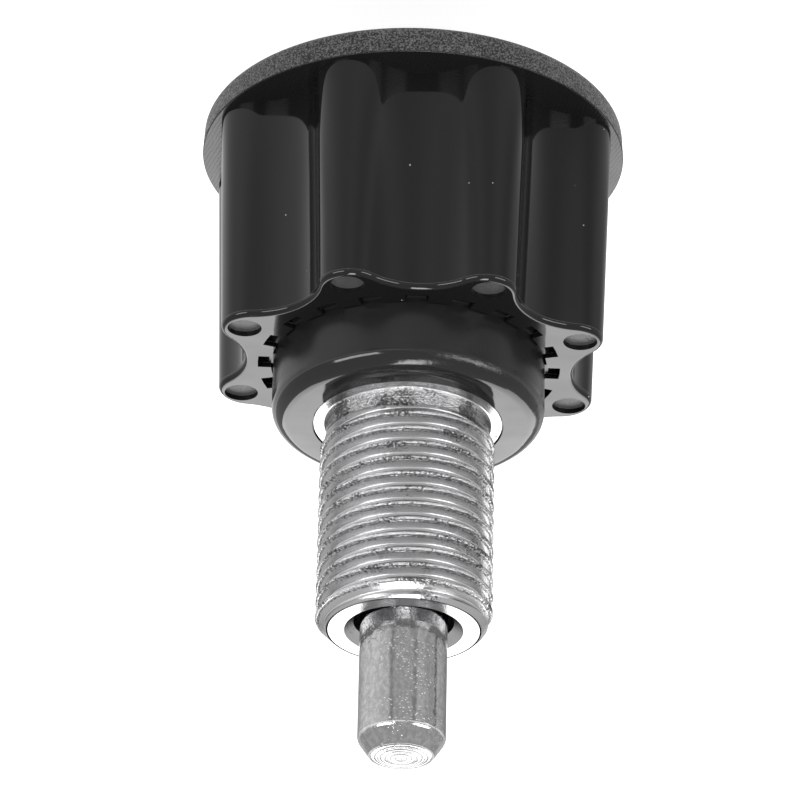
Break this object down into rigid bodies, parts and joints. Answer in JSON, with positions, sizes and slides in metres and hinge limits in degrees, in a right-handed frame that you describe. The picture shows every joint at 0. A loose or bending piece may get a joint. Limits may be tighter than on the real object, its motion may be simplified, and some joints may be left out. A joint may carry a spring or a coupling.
{
  "type": "exercise bike adjustment knob",
  "caption": "Fluted pull knob on a splined collar, with a spring-loaded plunger pin in a threaded steel barrel, for locking a sliding post.",
  "frame": {"origin": "centre of the cap's flat outer face, on which the part stands", "axes": "+Z along the plunger's axis from the cap to the pin's tip; -Y through a flute of the knob"},
  "size_m": [0.0392, 0.0392, 0.0637],
  "materials": {
    "knob_plastic": "glossy moulded black plastic",
    "cap_plastic": "fine matte grain, dark grey to black",
    "collar_plastic": "glossy moulded black plastic with a slightly uneven round",
    "zinc_plated_steel": "bright zinc plating on turned and threaded steel",
    "bush_steel": "turned steel",
    "pin_steel": "bright polished plating with a turned end face",
    "spring_wire": "drawn spring wire",
    "nut_steel": "zinc plated",
    "nylon": "blue nylon"
  },
  "bodies": {
    "barrel": {"threaded_barrel": "zinc_plated_steel", "spline_collar": "collar_plastic", "spring_bush": "bush_steel", "return_spring": "spring_wire"},
    "knob": {"knob_body": "knob_plastic", "knob_cap": "cap_plastic", "plunger_pin": "pin_steel", "knob_nut": "nut_steel", "nut_lock_ring": "nylon", "nut_washer": "nut_steel", "shank_washer": "nut_steel"}
  },
  "joints": [
    {"name": "knob_pull", "type": "slide", "parent": "barrel", "child": "knob", "axis": [0, 0, -1], "range_m": [0, 0.01], "stiffness_N_per_m": 2770, "springref_m": -0.007, "deforming": ["return_spring"]}
  ]
}
